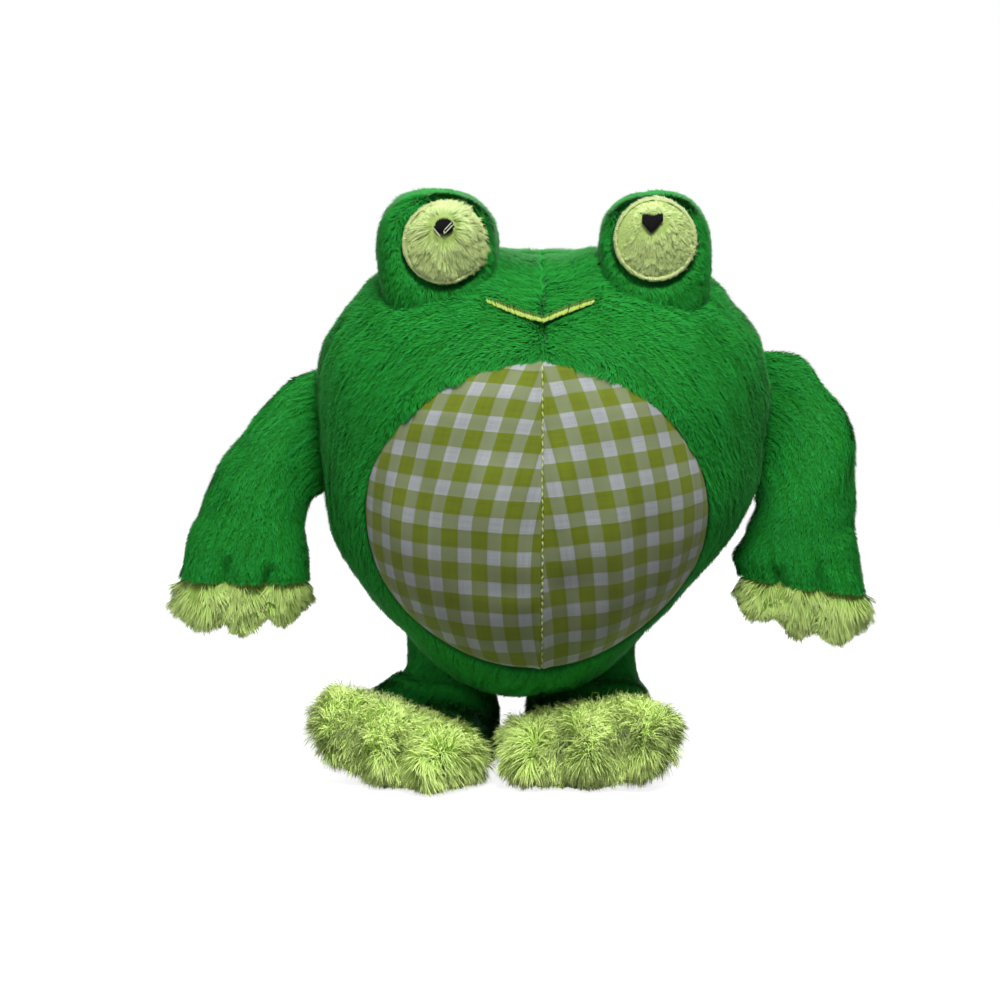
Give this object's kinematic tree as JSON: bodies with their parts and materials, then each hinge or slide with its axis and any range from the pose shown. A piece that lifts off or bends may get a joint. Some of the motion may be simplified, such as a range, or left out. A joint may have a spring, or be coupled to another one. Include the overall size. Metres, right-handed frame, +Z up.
{
  "type": "plush frog toy",
  "caption": "Small stuffed frog with a round body, a checked cotton belly, bulging embroidered eyes, flap arms and short legs with long-pile hands and feet.",
  "frame": {"origin": "on the surface that the frog stands on, under the middle of its outline", "axes": "+Z up; the frog faces -Y; +X is the frog's own left"},
  "size_m": [0.1746, 0.103, 0.1475],
  "materials": {
    "green_plush": "short pile plush",
    "lime_fur": "long shaggy pile",
    "lime_plush": "short pile plush",
    "checked_cotton": "plain woven gingham",
    "lime_thread": "satin stitch",
    "black_thread": "satin stitch",
    "white_stuffing": "loose polyester fill"
  },
  "bodies": {
    "torso": {"front_left_panel": "green_plush", "back_left_panel": "green_plush", "belly_left_panel": "checked_cotton", "front_right_panel": "green_plush", "back_right_panel": "green_plush", "belly_right_panel": "checked_cotton", "body_stuffing": "white_stuffing", "mouth_stitching": "lime_thread", "left_eye_bulge": "green_plush", "left_eye_stuffing": "white_stuffing", "left_eye_disc": "lime_plush", "left_eye_border": "lime_thread", "left_pupil": "black_thread", "right_eye_bulge": "green_plush", "right_eye_stuffing": "white_stuffing", "right_eye_disc": "lime_plush", "right_eye_border": "lime_thread", "right_pupil": "black_thread"},
    "left_arm": {"left_arm_front": "green_plush", "left_arm_back": "green_plush", "left_arm_stuffing": "white_stuffing", "left_hand_fur": "lime_fur"},
    "right_arm": {"right_arm_front": "green_plush", "right_arm_back": "green_plush", "right_arm_stuffing": "white_stuffing", "right_hand_fur": "lime_fur"},
    "left_leg": {"left_leg_front": "green_plush", "left_leg_back": "green_plush", "left_leg_stuffing": "white_stuffing", "left_toe_top_fur": "lime_fur", "left_toe_sole_fur": "lime_fur"},
    "right_leg": {"right_leg_front": "green_plush", "right_leg_back": "green_plush", "right_leg_stuffing": "white_stuffing", "right_toe_top_fur": "lime_fur", "right_toe_sole_fur": "lime_fur"}
  },
  "joints": [
    {"name": "shoulder_left", "type": "hinge", "parent": "torso", "child": "left_arm", "pos_m": [0.06269, -0.00045, 0.09], "axis": [0, 0, -1], "range_deg": [-45, 45], "stiffness_Nm_per_rad": 0.004},
    {"name": "shoulder_right", "type": "hinge", "parent": "torso", "child": "right_arm", "pos_m": [-0.05251, -0.00045, 0.09], "axis": [0, 0, 1], "range_deg": [-45, 45], "stiffness_Nm_per_rad": 0.004},
    {"name": "hip_left", "type": "hinge", "parent": "torso", "child": "left_leg", "pos_m": [0.01809, 0.00655, 0.02], "axis": [1, 0, 0], "range_deg": [-6, 36], "stiffness_Nm_per_rad": 0.15},
    {"name": "hip_right", "type": "hinge", "parent": "torso", "child": "right_leg", "pos_m": [-0.01791, 0.00655, 0.02], "axis": [1, 0, 0], "range_deg": [-6, 36], "stiffness_Nm_per_rad": 0.15}
  ]
}
